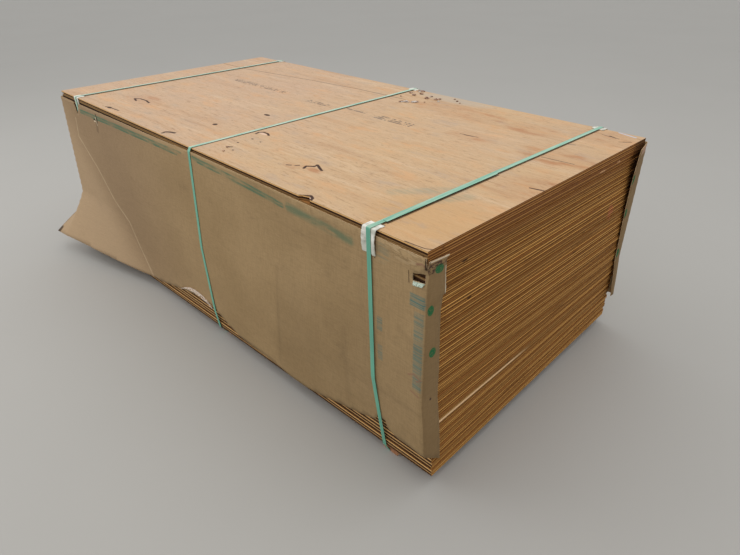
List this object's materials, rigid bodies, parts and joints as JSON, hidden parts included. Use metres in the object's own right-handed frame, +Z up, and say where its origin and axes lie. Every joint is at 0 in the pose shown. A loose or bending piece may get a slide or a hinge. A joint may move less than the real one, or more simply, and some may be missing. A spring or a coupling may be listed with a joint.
{
  "type": "stack of plywood sheets",
  "caption": "Strapped stack of full-size plywood sheets on three runners, with bent kraft board covers on its long sides.",
  "frame": {"origin": "the flat underside of the middle runner beside its strap groove, midway along the runner, on the floor", "axes": "+Z up, X along the sheets' long side with +X towards the end face whose cover flaps both lie flat, Y across, -Y towards the long side whose cover is bent away at its foot"},
  "size_m": [2.5844, 1.4618, 0.859],
  "materials": {
    "plywood": "raw sawn edges",
    "top_veneer": "raw face veneer",
    "runner": "raw sawn timber",
    "strap": "semi-gloss",
    "protector": "matt",
    "cover": "matt kraft board"
  },
  "bodies": {
    "root": {"far_cover": "cover", "far_protector_left": "protector", "far_protector_middle": "protector", "far_protector_right": "protector", "near_cover": "cover", "near_protector_left": "protector", "near_protector_right": "protector", "runner_left": "runner", "runner_middle": "runner", "runner_right": "runner", "sheets_01_to_04": "plywood", "sheets_05_to_08": "plywood", "sheets_09_to_12": "plywood", "sheets_13_to_16": "plywood", "sheets_17_to_20": "plywood", "sheets_21_to_24": "plywood", "sheets_25_to_28": "plywood", "sheets_29_to_32": "plywood", "sheets_33_to_36": "plywood", "sheets_37_to_40": "plywood", "sheets_41_to_44": "plywood", "sheets_45_to_48": "plywood", "sheets_49_to_52": "plywood", "strap_left": "strap", "strap_middle": "strap", "strap_right": "strap", "top_sheet": "top_veneer"}
  },
  "joints": []
}
